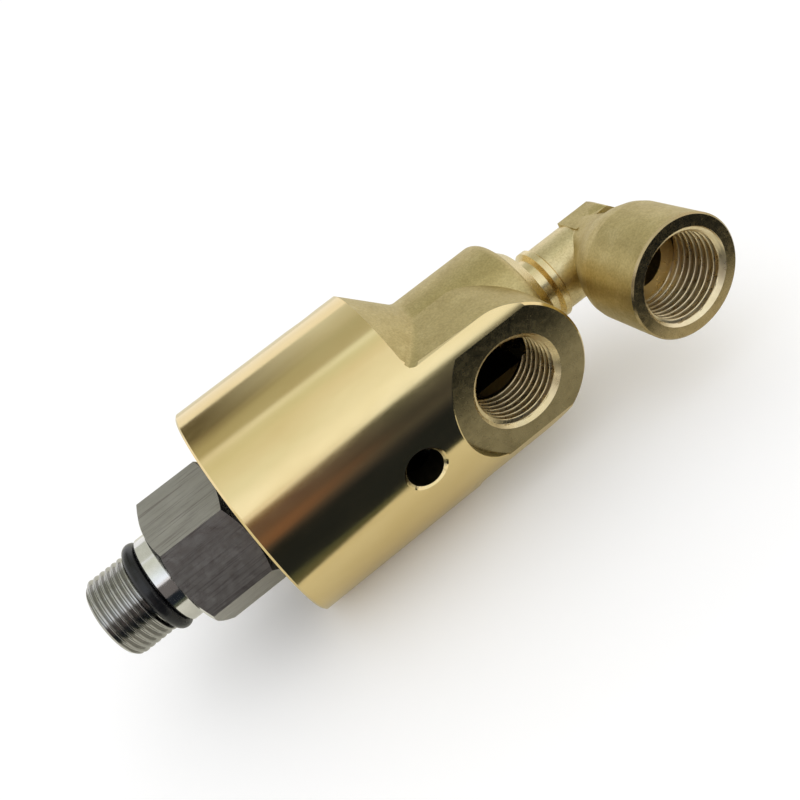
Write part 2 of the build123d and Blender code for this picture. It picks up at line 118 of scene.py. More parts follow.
class Finish:
    """A procedural material built one node at a time, in object space, so that detail is at true scale."""

    def __init__(self, name):
        self.material = bpy.data.materials.new(name)
        self.material.use_nodes = True
        self.tree = self.material.node_tree
        self.shader = self.tree.nodes["Principled BSDF"]
        self.place = self.tree.nodes.new("ShaderNodeTexCoord").outputs["Object"]
        self.height = None

    def link(self, a, b):
        self.tree.links.new(a, b)

    def set(self, **values):
        for key, value in values.items():
            socket = self.shader.inputs[key.replace("_", " ")]
            socket.default_value = value

    def stretched(self, scale):
        node = self.tree.nodes.new("ShaderNodeMapping")
        node.inputs["Scale"].default_value = scale
        self.link(self.place, node.inputs["Vector"])
        return node.outputs["Vector"]

    def noise(self, size, detail, rough, vector=None):
        node = self.tree.nodes.new("ShaderNodeTexNoise")
        node.inputs["Scale"].default_value = 1 / size
        node.inputs["Detail"].default_value = detail
        node.inputs["Roughness"].default_value = rough
        self.link(vector or self.place, node.inputs["Vector"])
        return node.outputs["Fac"]

    def ramp(self, fac, *stops):
        node = self.tree.nodes.new("ShaderNodeValToRGB")
        elements = node.color_ramp.elements
        while len(elements) < len(stops):
            elements.new(0.5)
        for element, (at, colour) in zip(elements, stops):
            element.position = at
            element.color = (*colour, 1)
        self.link(fac, node.inputs["Fac"])
        return node.outputs["Color"]

    def spread(self, fac, low, high):
        """Maps the middle of a noise's range onto low to high."""
        node = self.tree.nodes.new("ShaderNodeMapRange")
        node.inputs["From Min"].default_value = 0.3
        node.inputs["From Max"].default_value = 0.7
        node.inputs["To Min"].default_value = low
        node.inputs["To Max"].default_value = high
        self.link(fac, node.inputs["Value"])
        return node.outputs["Result"]

    def math(self, operation, *values):
        node = self.tree.nodes.new("ShaderNodeMath")
        node.operation = operation
        for socket, value in zip(node.inputs, values):
            if isinstance(value, (int, float)):
                socket.default_value = value
            else:
                self.link(value, socket)
        return node.outputs[0]

    def multiply(self, a, b):
        node = self.tree.nodes.new("ShaderNodeMix")
        node.data_type = "RGBA"
        node.blend_type = "MULTIPLY"
        node.inputs[0].default_value = 1.0
        self.link(a, node.inputs[6])
        self.link(b, node.inputs[7])
        return node.outputs[2]

    def axes(self):
        node = self.tree.nodes.new("ShaderNodeSeparateXYZ")
        self.link(self.place, node.inputs[0])
        return node.outputs

    def colour(self, socket):
        self.link(socket, self.shader.inputs["Base Color"])

    def rough(self, socket):
        self.link(socket, self.shader.inputs["Roughness"])

    def bump(self, height, distance, strength):
        node = self.tree.nodes.new("ShaderNodeBump")
        node.inputs["Distance"].default_value = distance
        node.inputs["Strength"].default_value = strength
        self.link(height, node.inputs["Height"])
        if self.height is not None:
            self.link(self.height, node.inputs["Normal"])
        self.height = node.outputs["Normal"]
        self.link(self.height, self.shader.inputs["Normal"])


def brass_turned(name):
    """Lathe-turned pale brass, close to a mirror, with faint tool lines and light handling marks."""
    f = Finish(name)
    f.set(Metallic=1.0, Specular_IOR_Level=0.5)
    smudge = f.noise(9 * MM, 3, 0.55, f.stretched((0.35, 1, 1)))
    f.colour(f.ramp(smudge, (0.25, (0.78, 0.60, 0.29)), (0.75, (0.86, 0.69, 0.37))))
    lines = f.noise(0.16 * MM, 2, 0.6, f.stretched((1, 0.02, 0.02)))
    marks = f.noise(3 * MM, 4, 0.6, f.stretched((0.25, 1, 1)))
    f.rough(f.spread(marks, 0.0975, 0.1755))
    f.bump(lines, 0.0009 * MM, 0.7)
    scuffs = f.noise(1.4 * MM, 5, 0.7, f.stretched((0.15, 1, 1)))
    f.bump(scuffs, 0.0012 * MM, 0.5)
    return f.material


def brass_forged(name, low, mid, high, roughness):
    """Blasted brass forging: satin, finely pitted, with a mild olive and straw mottling."""
    f = Finish(name)
    f.set(Metallic=1.0)
    patches = f.noise(5 * MM, 4, 0.6)
    tone = f.ramp(patches, (0.3, low), (0.55, mid), (0.78, high))
    specks = f.noise(0.5 * MM, 3, 0.7)
    shade = f.ramp(specks, (0.35, (0.80, 0.78, 0.74)), (0.62, (1.0, 1.0, 1.0)))
    f.colour(f.multiply(tone, shade))
    f.rough(f.spread(f.noise(1.2 * MM, 4, 0.6), roughness, roughness + 0.14))
    f.bump(f.noise(0.42 * MM, 4, 0.65), 0.030 * MM, 0.75)
    f.bump(f.noise(3.2 * MM, 2, 0.5), 0.10 * MM, 0.6)
    return f.material


def brass_faced(name, centre, axis, tone_low, tone_high, roughness):
    """A brass face cut on a mill or lathe, with rings left by the tool round the given axis."""
    f = Finish(name)
    f.set(Metallic=1.0)
    x, y, z = f.axes()
    across = {"x": (y, z), "y": (x, z)}[axis]
    first = f.math("SUBTRACT", across[0], centre[0])
    second = f.math("SUBTRACT", across[1], centre[1])
    squares = (f.math("MULTIPLY", first, first), f.math("MULTIPLY", second, second))
    radius = f.math("SQRT", f.math("ADD", *squares))
    combine = f.tree.nodes.new("ShaderNodeCombineXYZ")
    f.link(radius, combine.inputs[0])
    rings = f.noise(0.22 * MM, 3, 0.7, combine.outputs[0])
    patches = f.noise(4 * MM, 3, 0.6)
    f.colour(f.ramp(patches, (0.3, tone_low), (0.7, tone_high)))
    f.rough(f.spread(f.noise(1.5 * MM, 3, 0.6), roughness * 0.8, roughness * 1.3))
    f.bump(rings, 0.006 * MM, 0.6)
    return f.material


def steel_rolled(name):
    """Dull grey hexagon bar with fine drawing scratches along its length."""
    f = Finish(name)
    f.set(Metallic=1.0)
    patches = f.noise(5 * MM, 4, 0.6, f.stretched((0.4, 1, 1)))
    tone = f.ramp(patches, (0.3, (0.400, 0.385, 0.365)), (0.7, (0.500, 0.485, 0.465)))
    scratches = f.noise(0.5 * MM, 5, 0.75, f.stretched((0.03, 1, 1)))
    dark = f.ramp(scratches, (0.36, (0.66, 0.63, 0.64)), (0.50, (1.0, 1.0, 1.0)))
    f.colour(f.multiply(tone, dark))
    f.rough(f.spread(f.noise(1.5 * MM, 4, 0.6), 0.34, 0.48))
    f.bump(scratches, 0.010 * MM, 0.6)
    f.bump(f.noise(0.35 * MM, 3, 0.6), 0.006 * MM, 0.5)
    return f.material


def steel_turned(name, low, high, roughness):
    """Turned steel with fine tool lines round the axis."""
    f = Finish(name)
    f.set(Metallic=1.0)
    patches = f.noise(2.5 * MM, 3, 0.6)
    f.colour(f.ramp(patches, (0.3, low), (0.7, high)))
    lines = f.noise(0.14 * MM, 3, 0.7, f.stretched((1, 0.02, 0.02)))
    f.rough(f.spread(f.noise(1.2 * MM, 3, 0.6), roughness * 0.8, roughness * 1.3))
    f.bump(lines, 0.002 * MM, 0.6)
    return f.material


def rubber(name):
    """Black nitrile rubber with a slight sheen and moulding haze."""
    f = Finish(name)
    f.set(Metallic=0.0, Specular_IOR_Level=0.4)
    haze = f.noise(1.5 * MM, 4, 0.6)
    f.colour(f.ramp(haze, (0.3, (0.005, 0.005, 0.006)), (0.7, (0.010, 0.010, 0.012))))
    f.rough(f.spread(haze, 0.20, 0.32))
    f.bump(f.noise(0.3 * MM, 3, 0.6), 0.004 * MM, 0.5)
    return f.material


def plain(name, low, high, metallic, rough_low, rough_high, grain, depth):
    """A finish in two close tones with grain of the given size and depth. Most parts get their own colour
    from it; the housing's inside gets a near-black tone that is painted shade.
    """
    f = Finish(name)
    f.set(Metallic=metallic)
    patches = f.noise(grain * 6, 4, 0.6)
    f.colour(f.ramp(patches, (0.3, low), (0.7, high)))
    f.rough(f.spread(patches, rough_low, rough_high))
    f.bump(f.noise(grain, 3, 0.6), depth, 0.6)
    return f.material


TURNED = brass_turned("brass_turned")
FORGED = brass_forged(
    "brass_forged", (0.54, 0.43, 0.190), (0.61, 0.495, 0.230), (0.67, 0.555, 0.28), 0.38,
)
# the elbow's arm: the forged brass in a lighter tone that is painted light for its bright highlight; its
# lower roughness is the arm's own shinier finish
ARM_FORGED_LIT = brass_forged("brass_arm_lit", (0.74, 0.61, 0.33), (0.80, 0.67, 0.38), (0.84, 0.72, 0.43), 0.27)
# painted shade: the port's flat face is the same brass as its bore, painted dark olive for the dark it
# reflects
PORT_FACE_SHADED = brass_faced(
    "brass_port_face_painted_shade", (PORT_X, 0), "y", (0.245, 0.200, 0.108), (0.315, 0.260, 0.145), 0.24,
)
PORT_BORED = brass_faced(
    "brass_port_bore", (PORT_X, 0), "y", (0.72, 0.58, 0.32), (0.80, 0.66, 0.40), 0.28,
)
TAIL_TURNED = brass_faced(
    "brass_tail_turned", (0, 0), "x", (0.74, 0.60, 0.32), (0.82, 0.68, 0.40), 0.24,
)
# painted shade: the socket's end face is the same brass as its bore, painted darker
SOCKET_FACE_SHADED = brass_faced(
    "brass_socket_face_painted_shade", (SOCKET_X, 0), "y", (0.40, 0.305, 0.148), (0.48, 0.370, 0.195), 0.24,
)
SOCKET_BORED = brass_faced(
    "brass_socket_bore", (SOCKET_X, 0), "y", (0.80, 0.66, 0.40), (0.88, 0.75, 0.50), 0.30,
)
# painted shade: a near-black brass for the faces inside the housing and the deep floor of the port, standing
# in for the shadow there
INNER_SHADE = plain(
    "brass_inner_painted_shade", (0.070, 0.056, 0.030), (0.110, 0.088, 0.048), 1.0, 0.35, 0.50, 0.4 * MM,
    0.01 * MM,
)
HEX_STEEL = steel_rolled("steel_hexagon")
SHAFT_STEEL = steel_turned("steel_shaft", (0.70, 0.69, 0.66), (0.80, 0.79, 0.76), 0.12)
THREAD_STEEL = steel_turned("steel_thread", (0.40, 0.395, 0.375), (0.50, 0.49, 0.47), 0.17)
RUBBER = rubber("nitrile_rubber")
RING_STEEL = steel_turned("steel_bearing_ring", (0.56, 0.56, 0.57), (0.66, 0.66, 0.67), 0.14)
BALL_STEEL = plain(
    "steel_ball", (0.66, 0.66, 0.67), (0.72, 0.72, 0.73), 1.0, 0.05, 0.09, 0.5 * MM, 0.0005 * MM,
)
CAGE = plain(
    "cage_brass", (0.52, 0.38, 0.16), (0.62, 0.47, 0.22), 1.0, 0.28, 0.40, 0.5 * MM, 0.008 * MM,
)
SHIELD = plain(
    "steel_shield", (0.45, 0.45, 0.46), (0.55, 0.55, 0.56), 1.0, 0.22, 0.34, 0.4 * MM,
    0.004 * MM,
)
CLIP = plain(
    "steel_spring", (0.045, 0.045, 0.050), (0.090, 0.088, 0.090), 1.0, 0.35, 0.50, 0.3 * MM,
    0.006 * MM,
)
CARBON = plain(
    "carbon_graphite", (0.018, 0.018, 0.019), (0.036, 0.036, 0.038), 0.0, 0.35, 0.55, 0.25 * MM,
    0.006 * MM,
)
SEAL_FACE = plain(
    "seal_face_ceramic", (0.20, 0.20, 0.21), (0.27, 0.27, 0.28), 0.0, 0.14, 0.22, 0.4 * MM,
    0.002 * MM,
)
SLINGER = plain(
    "steel_slinger", (0.040, 0.038, 0.036), (0.075, 0.070, 0.066), 1.0, 0.40, 0.55, 0.4 * MM,
    0.006 * MM,
)

NODE_FINISH = {
    "slinger": SLINGER,
    "housing_circlip": CLIP,
    "rotor_circlip": CLIP,
    "bearing_outer_spacer": RING_STEEL,
    "bearing_inner_spacer": RING_STEEL,
    "rotor_seal_ring": SEAL_FACE,
    "rotor_seal_o_ring": RUBBER,
    "carbon_seal_ring": CARBON,
    "seal_carrier": SHIELD,
    "anti_rotation_pins": RING_STEEL,
    "carrier_o_ring": RUBBER,
    "seal_spring": RING_STEEL,
}
for side in ("front", "rear"):
    NODE_FINISH[f"{side}_bearing_outer_ring"] = RING_STEEL
    NODE_FINISH[f"{side}_bearing_inner_ring"] = RING_STEEL
    NODE_FINISH[f"{side}_bearing_shields"] = SHIELD
    NODE_FINISH[f"{side}_bearing_cage"] = CAGE
    NODE_FINISH[f"{side}_bearing_balls"] = BALL_STEEL
for node, finish in NODE_FINISH.items():
    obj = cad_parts[node]
    obj.data.materials.clear()
    obj.data.materials.append(finish)


# ---- mesh helpers ----

def dressed_copy(node, body, name, drop, turn=None):
    """A welded copy of a node's own mesh without the faces that drop(centre, corners) picks.
    Where the node stands turned about the rotor axis, drop is given places as they are before that turn."""
    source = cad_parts[node]
    work = bmesh.new()
    work.from_mesh(source.data)
    if turn:
        bmesh.ops.transform(work, matrix=turn.inverted(), verts=work.verts)
    bmesh.ops.remove_doubles(work, verts=work.verts, dist=WELD)
    gone = [f for f in work.faces if drop(f.calc_center_median(), [v.co for v in f.verts])]
    bmesh.ops.delete(work, geom=gone, context="FACES")
    if turn:
        bmesh.ops.transform(work, matrix=turn, verts=work.verts)
    mesh = bpy.data.meshes.new(name)
    work.to_mesh(mesh)
    work.free()
    obj = bpy.data.objects.new(name, mesh)
    bpy.context.scene.collection.objects.link(obj)
    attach(obj, body)
    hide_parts(node)
    return obj


def surface(name, rows):
    """A mesh through rows of points, each row closed into a loop."""
    vertices = [p for row in rows for p in row]
    count = len(rows[0])
    faces = []
    for i in range(len(rows) - 1):
        for j in range(count):
            k = (j + 1) % count
            faces.append((i * count + j, i * count + k, (i + 1) * count + k, (i + 1) * count + j))
    mesh = bpy.data.meshes.new(name)
    mesh.from_pydata(vertices, [], faces)
    mesh.update()
    return mesh


def smooth(obj, angle):
    obj.data.polygons.foreach_set("use_smooth", [True] * len(obj.data.polygons))
    obj.data.set_sharp_from_angle(angle=radians(angle))


def about(axis):
    """For an axis given as (origin, direction): a function that turns a point into (distance along, radius,
    outward direction), and the axis's unit direction."""
    origin, along = Vector(axis[0]), Vector(axis[1]).normalized()

    def place(p):
        arm = p - origin
        t = arm.dot(along)
        out = arm - along * t
        return t, out.length, out.normalized() if out.length > 1e-9 else out
    return place, along


def exact_normals(obj, axes, rounds=(), soft=(), turn=None):
    """Gives each face the true normals of the turned surface it lies on: a cone or cylinder about one of the
    axes, a rounded ring (centre along, centre radius, round) about the first axis, or a soft outline of
    (along, radius) points about the second. Every other face is flat."""
    mesh = obj.data
    back = turn.inverted() if turn else Matrix.Identity(4)
    back_turn = back.to_3x3()
    places = [about(axis) for axis in axes]
    normals = [None] * len(mesh.loops)
    for polygon in mesh.polygons:
        points = [back @ mesh.vertices[v].co for v in polygon.vertices]
        face = (back_turn @ polygon.normal).normalized()
        found = None
        for number, (place, along) in enumerate(places):
            spots = [place(p) for p in points]
            if number == 0:
                for centre_t, centre_r, ball in rounds:
                    if all(abs(hypot(t - centre_t, r - centre_r) - ball) < ON_ROUND for t, r, out in spots):
                        found = [along * (t - centre_t) + out * (r - centre_r) for t, r, out in spots]
                        found = [n.normalized() for n in found]
                        break
                if found:
                    break
            low, high = min(spots, key=lambda q: q[0]), max(spots, key=lambda q: q[0])
            run, rise = high[0] - low[0], high[1] - low[1]
            if run < FLAT_RUN:
                continue
            if any(abs(low[1] + rise * (t - low[0]) / run - r) > ON_FACE for t, r, out in spots):
                continue
            tilt = atan2(rise, run)
            normal = [(out * cos(tilt) - along * sin(tilt)).normalized() for t, r, out in spots]
            middle = sum(normal, Vector()).normalized()
            if abs(middle.dot(face)) > SAME_WAY:
                found = normal
                if number == 1 and soft:
                    found = [soften(t, r, out, along, soft) or n for (t, r, out), n in zip(spots, normal)]
                break
        for index, loop in enumerate(polygon.loop_indices):
            n = found[index] if found else face
            if n.dot(face) < 0:
                n = -n
            normals[loop] = (turn.to_3x3() @ n) if turn else n
    mesh.normals_split_custom_set(normals)


def soften(t, r, out, along, outline):
    """The mean of the two slopes at a point of a soft outline, or nothing where the point isn't on it."""
    for number in range(1, len(outline) - 1):
        if hypot(t - outline[number][0], r - outline[number][1]) < ON_ROUND:
            (t0, r0), (t1, r1), (t2, r2) = outline[number - 1 : number + 2]
            lean = (atan2(r1 - r0, t1 - t0) + atan2(r2 - r1, t2 - t1)) / 2
            return (out * cos(lean) - along * sin(lean)).normalized()
    return None


def paint(obj, materials, rule, turn=None):
    """Gives every face the slot whose number rule(centre, normal) returns."""
    back = turn.inverted() if turn else Matrix.Identity(4)
    obj.data.materials.clear()
    for material in materials:
        obj.data.materials.append(material)
    for polygon in obj.data.polygons:
        polygon.material_index = rule(back @ polygon.center, back.to_3x3() @ polygon.normal)


def thread_wave(phase, sharp):
    """Height from -1 in the root to 1 on the crest over one pitch, with rounded tips and flanks made steeper
    by sharp."""
    tri = 1 - 4 * abs((phase % 1.0) - 0.5)
    wave = max(-1.0, min(1.0, tri * sharp))
    return sin(wave * pi / 2)


def bore_thread(centre_x, face_y, chamfer_r, length):
    """The wall of a threaded port: the chamfer at its mouth and the helical groove cut outwards from the
    minor bore."""
    rows = []
    count = int(length / G_PITCH * ROWS_PER_PITCH)
    for i in range(count + 1):
        down = length * i / count
        row = []
        for j in range(BORE_SIDES):
            angle = 2 * pi * j / BORE_SIDES
            wave = thread_wave(down / G_PITCH - j / BORE_SIDES, BORE_SHARP)
            r = max(chamfer_r - down, G_MINOR + G_DEPTH * (0.5 - 0.5 * wave))
            row.append((centre_x + r * cos(angle), -face_y + down, r * sin(angle)))
        rows.append(row)
    return surface("bore_thread", rows)


def polar(x, r, angle):
    """A point about the rotor axis, its angle measured from the front (-Y) towards the top (+Z)."""
    return Vector((x, -r * cos(angle), r * sin(angle)))


def add_piece(name, mesh, material, body, angle=SHARP_OVER):
    """A new piece in its finish, smooth but for edges sharper than the angle, riding on a body."""
    obj = bpy.data.objects.new(name, mesh)
    bpy.context.scene.collection.objects.link(obj)
    obj.data.materials.append(material)
    smooth(obj, angle)
    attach(obj, body)
    return obj


def thin(mesh, keep):
    """Leaves only the faces of a mesh whose centre keep() accepts."""
    work = bmesh.new()
    work.from_mesh(mesh)
    gone = [f for f in work.faces if not keep(f.calc_center_median())]
    bmesh.ops.delete(work, geom=gone, context="FACES")
    work.to_mesh(mesh)
    work.free()
    return mesh


# ---- housing ----


def near_port(c, corners):
    """The plain wall of the supply port, which its thread takes the place of."""
    reach = max(hypot(v.x - PORT_X, v.z) for v in corners)
    deep = -PORT_FACE + 0.01 * MM < c.y < -(PORT_FACE - PORT_DEPTH) + 0.05 * MM
    return deep and reach < PORT_CHAMFER + TOUCH and hypot(c.x - PORT_X, c.z) > G_MINOR * 0.97


housing = dressed_copy("housing", "housing", "housing_dressed", near_port)

# the spot face's edge where it breaks out of the barrel, dulled by a small round
EDGE_ROUND = 0.3 * MM


def on_spot_rim(co):
    """Whether a point lies where the spot face about the port cuts the barrel."""
    on_barrel = abs(hypot(co.y, co.z) - BARREL_R) < ON_FACE
    return co.y < 0 and on_barrel and abs(hypot(co.x - PORT_X, co.z) - SPOT_R) < ON_FACE


work = bmesh.new()
work.from_mesh(housing.data)
rim = {v for v in work.verts if on_spot_rim(v.co)}
edges = [e for e in work.edges if rim.issuperset(e.verts) and len(e.link_faces) == 2]
bmesh.ops.bevel(
    work, geom=edges, offset=EDGE_ROUND, segments=2, profile=0.5, affect="EDGES", clamp_overlap=True
)
work.to_mesh(housing.data)
work.free()
smooth(housing, DRESSED_SHARP_OVER)
vent_turns = [2 * pi * i / VENT_COUNT for i in range(VENT_COUNT)]
vents = [((VENT_X, 0, 0), (0, -cos(a), -sin(a))) for a in vent_turns]
exact_normals(
    housing,
    [((0, 0, 0), (1, 0, 0)), ((PORT_X, 0, 0), (0, -1, 0)), *vents],
    rounds=[
        (BARREL_END_X + SHOULDER + NECK_FILLET_REACH, NECK_R + NECK_FILLET, NECK_FILLET),
        (TAIL_LAND_X - NECK_FILLET, NECK_R - NECK_FILLET, NECK_FILLET),
    ],
)

# where the housing's finishes change
PORT_RIM_DEPTH = 3 * MM
LUG_EDGE = 0.6 * MM
MOUTH_EDGE = 1 * MM
MOUTH_RING_R = 23 * MM
TAIL_STEP = 2.9 * MM
CAVITY_R = 24.9 * MM
BARREL_EDGE = 0.4 * MM
CLEAR = 0.2 * MM
HOUSING_SLOTS = (TURNED, FORGED, PORT_FACE_SHADED, PORT_BORED, TAIL_TURNED, INNER_SHADE)
SLOT_TURNED, SLOT_FORGED, SLOT_FACED_SHADE, SLOT_BORED, SLOT_TAIL, SLOT_INNER_SHADE = range(6)


def housing_finish(c, n):
    """The slot of a housing face, from its centre and its normal."""
    axial_r = hypot(c.y, c.z)
    port_r = hypot(c.x - PORT_X, c.z)
    if c.y < 0 and port_r < PORT_CHAMFER + 0.05 * MM and axial_r < BARREL_R - CLEAR:
        # deeper in the port: painted shade on its floor and on the wall by the chamber
        if c.y > -(PORT_FACE - PORT_RIM_DEPTH):
            return SLOT_INNER_SHADE
        if n.y > -0.99:
            return SLOT_BORED
    # the port's flat face gets its painted shade
    if n.y < -0.95 and abs(c.y + PORT_FACE) < 0.3 * MM:
        return SLOT_FACED_SHADE
    off_barrel = abs(axial_r - BARREL_R) > CLEAR
    if c.y < -PORT_FACE + LUG_EDGE and c.x > PORT_X and off_barrel and n.y < -0.4:
        return SLOT_TURNED
    if c.x < MOUTH_X + MOUTH_EDGE and axial_r > MOUTH_RING_R:
        return SLOT_TURNED
    if c.x > TAIL_X - TAIL_STEP and n.x > 0.3 and axial_r < NECK_R + 0.1 * MM:
        return SLOT_TAIL
    inward = c.y * n.y + c.z * n.z < 0
    # faces that look inwards inside the cavity get painted shade
    if inward and axial_r < CAVITY_R:
        return SLOT_INNER_SHADE
    if axial_r > BARREL_R - BARREL_EDGE:
        return SLOT_TURNED
    if abs(c.x - VENT_X) < VENT_RIM and c.x < BARREL_END_X:
        return SLOT_TAIL
    return SLOT_FORGED


paint(housing, HOUSING_SLOTS, housing_finish)

# ---- elbow ----


def near_socket(c, corners):
    """The plain wall of the return port, which its thread takes the place of."""
    reach = max(hypot(v.x - SOCKET_X, v.z) for v in corners)
    deep = -SOCKET_FACE + 0.01 * MM < c.y < -(SOCKET_FACE - SOCKET_DEPTH) - 0.05 * MM
    return deep and reach < SOCKET_CHAMFER + TOUCH


elbow = dressed_copy("elbow", "housing", "elbow_dressed", near_socket, ELBOW_TURN)
smooth(elbow, DRESSED_SHARP_OVER)
corner_points = [(y * MM, r * MM) for r, y in reversed(CORNER_OUTLINE)]
shoulder_points = [(y * MM, r * MM) for r, y in SHOULDER_OUTLINE[1:]]
exact_normals(
    elbow,
    [((0, 0, 0), (1, 0, 0)), ((SOCKET_X, 0, 0), (0, -1, 0))],
    soft=corner_points + shoulder_points,
    turn=ELBOW_TURN,
)

# where the elbow's finishes change
SOCKET_BACK = 14 * MM
SOCKET_START_Y = -12 * MM
TAIL_TURNED_END_X = TAIL_X + 6.35 * MM
ARM_R = 8.6 * MM
ARM_END_X = SOCKET_X + 2 * MM
ELBOW_SLOTS = (TURNED, FORGED, SOCKET_FACE_SHADED, SOCKET_BORED, TAIL_TURNED, ARM_FORGED_LIT)
SLOT_ARM_LIT = 5


def elbow_finish(c, n):
    """The slot of an elbow face, from its centre and its normal before the elbow's turn."""
    axial_r = hypot(c.y, c.z)
    socket_r = hypot(c.x - SOCKET_X, c.z)
    if c.x > SOCKET_X - SOCKET_BACK and c.y < SOCKET_START_Y:
        # the socket's end face gets its painted shade
        if abs(c.y + SOCKET_FACE) < 0.45 * MM and socket_r > SOCKET_CHAMFER - 0.1 * MM:
            return SLOT_FACED_SHADE
        inward = (c.x - SOCKET_X) * n.x + c.z * n.z < 0
        return SLOT_BORED if inward or n.y < -0.9 else SLOT_FORGED
    if c.x < TAIL_TURNED_END_X:
        return SLOT_TAIL
    # the arm between the tail and the socket gets the lighter forged brass, painted light
    return SLOT_ARM_LIT if axial_r < ARM_R and c.x < ARM_END_X else SLOT_FORGED


paint(elbow, ELBOW_SLOTS, elbow_finish, ELBOW_TURN)

# ---- port threads ----

mesh = bore_thread(PORT_X, PORT_FACE, PORT_CHAMFER, PORT_DEPTH)
mesh = thin(mesh, lambda c: hypot(c.y, c.z) > CHAMBER_R)
add_piece("port_thread", mesh, PORT_BORED, "housing")
mesh = bore_thread(SOCKET_X, SOCKET_FACE, SOCKET_CHAMFER, SOCKET_DEPTH)
mesh.transform(ELBOW_TURN)
add_piece("socket_thread", mesh, SOCKET_BORED, "housing")

# ---- rotor, with its shaft thread ----


def shaft_wall(c, corners):
    """The shaft's plain wall and the step beside the gland, which the helical thread takes the place of."""
    low = min(hypot(v.y, v.z) for v in corners)
    if c.x < SHAFT_END - 0.01 * MM:
        return low > SHAFT_R - SHAFT_CHAMFER - TOUCH and c.x > rotor_low.x + 0.001 * MM
    return abs(c.x - SHAFT_END) < 0.01 * MM and low > GLAND_R - 0.05 * MM


rotor = dressed_copy("rotor", "rotor", "rotor_dressed", shaft_wall)
rows = []
shaft_angles = [-2 * pi * j / SHAFT_SIDES for j in range(SHAFT_SIDES)]
count = int((SHAFT_END + SHAFT_CHAMFER) / SHAFT_PITCH * ROWS_PER_PITCH)
for i in range(count + 1):
    x = -SHAFT_CHAMFER + (SHAFT_END + SHAFT_CHAMFER) * i / count
    row = []
    for j, angle in enumerate(shaft_angles):
        wave = thread_wave(x / SHAFT_PITCH - j / SHAFT_SIDES, SHAFT_SHARP)
        r = min(SHAFT_R - SHAFT_DEPTH * (0.5 - 0.5 * wave), SHAFT_R + min(0, x))
        row.append(polar(x, r, angle))
    rows.append(row)
rows.append([polar(SHAFT_END, GLAND_R, angle) for angle in shaft_angles])
smooth(rotor, DRESSED_SHARP_OVER)
exact_normals(rotor, [((0, 0, 0), (1, 0, 0))])
add_piece("shaft_thread", surface("shaft_thread", rows), THREAD_STEEL, "rotor")

# where the rotor's finishes change
THREAD_STEP_R = 8.5 * MM
HEX_FLATS_R = 12 * MM
ROTOR_SLOTS = (SHAFT_STEEL, THREAD_STEEL, HEX_STEEL)
SLOT_SHAFT, SLOT_THREAD, SLOT_HEXAGON = range(3)


def rotor_finish(c, n):
    """The slot of a rotor face, from its centre and its normal."""
    axial_r = hypot(c.y, c.z)
    if c.x < SHAFT_END + TOUCH:
        return SLOT_THREAD if axial_r > THREAD_STEP_R else SLOT_SHAFT
    if HEX_START < c.x < HEX_END and axial_r > HEX_FLATS_R and abs(n.x) < 0.5:
        return SLOT_HEXAGON
    return SLOT_SHAFT


paint(rotor, ROTOR_SLOTS, rotor_finish)

# ---- seal rings: round rubber cord in place of the many-sided solids ----


def round_ring(node, body, name, steps=96, cord_sides=32):
    """A ring of round cord, as thick and as wide as the node's own, in its place."""
    low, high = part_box(node)
    cord_r = (high.x - low.x) / 2
    mean_r = high.z - cord_r
    rows = []
    for i in range(steps + 1):
        turn = 2 * pi * i / steps
        row = []
        for j in range(cord_sides):
            a = 2 * pi * j / cord_sides
            row.append(polar((high.x + low.x) / 2 + cord_r * cos(a), mean_r + cord_r * sin(a), turn))
        rows.append(row)
    ring = add_piece(name, surface(name, rows), RUBBER, body, RING_SHARP_OVER)
    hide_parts(node)


round_ring("shaft_o_ring", "rotor", "shaft_ring_round")
round_ring("rotor_seal_o_ring", "rotor", "rotor_seal_ring_round")
round_ring("carrier_o_ring", "housing", "carrier_ring_round")

# ---- seal spring: round wire, squeezed between the floating seal and the housing ----

spring_low, spring_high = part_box("seal_spring")
WIRE_R = 0.7 * MM
SPRING_TURNS = 3
TURN_STEPS = 48
WIRE_SIDES = 16
coil_r = spring_high.z - WIRE_R
pitch = (spring_high.x - spring_low.x - 2 * WIRE_R) / SPRING_TURNS
rows = []
for i in range(TURN_STEPS * SPRING_TURNS + 1):
    a = 2 * pi * i / TURN_STEPS
    out = Vector((0, cos(a), sin(a)))
    centre = out * coil_r + Vector((spring_low.x + WIRE_R + pitch * i / TURN_STEPS, 0, 0))
    row = []
    for j in range(WIRE_SIDES):
        b = 2 * pi * j / WIRE_SIDES
        row.append(centre + out * WIRE_R * cos(b) + Vector((WIRE_R * sin(b), 0, 0)))
    rows.append(row)
mesh = surface("seal_spring_round", rows)
spring = bpy.data.objects.new("seal_spring_round", mesh)
bpy.context.scene.collection.objects.link(spring)
mesh.materials.append(RING_STEEL)
work = bmesh.new()
work.from_mesh(mesh)
bmesh.ops.holes_fill(work, edges=[e for e in work.edges if e.is_boundary], sides=0)
bmesh.ops.recalc_face_normals(work, faces=work.faces)
work.to_mesh(mesh)
work.free()
smooth(spring, SHARP_OVER)
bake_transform(spring)
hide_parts("seal_spring")

# ---- forging fillet between the lug's side walls and the shoulder ----

BLEND = 2.5 * MM
SHOULDER_LEAN = radians(45)
PROUD = 0.004 * MM
SAMPLES, HALVINGS = 32, 30
CAP, ARC = 3, 24
SLOPE_STEPS, BEFORE_EDGE = 78, 24
ROUND_STEPS, NECK_STEPS = 8, 19


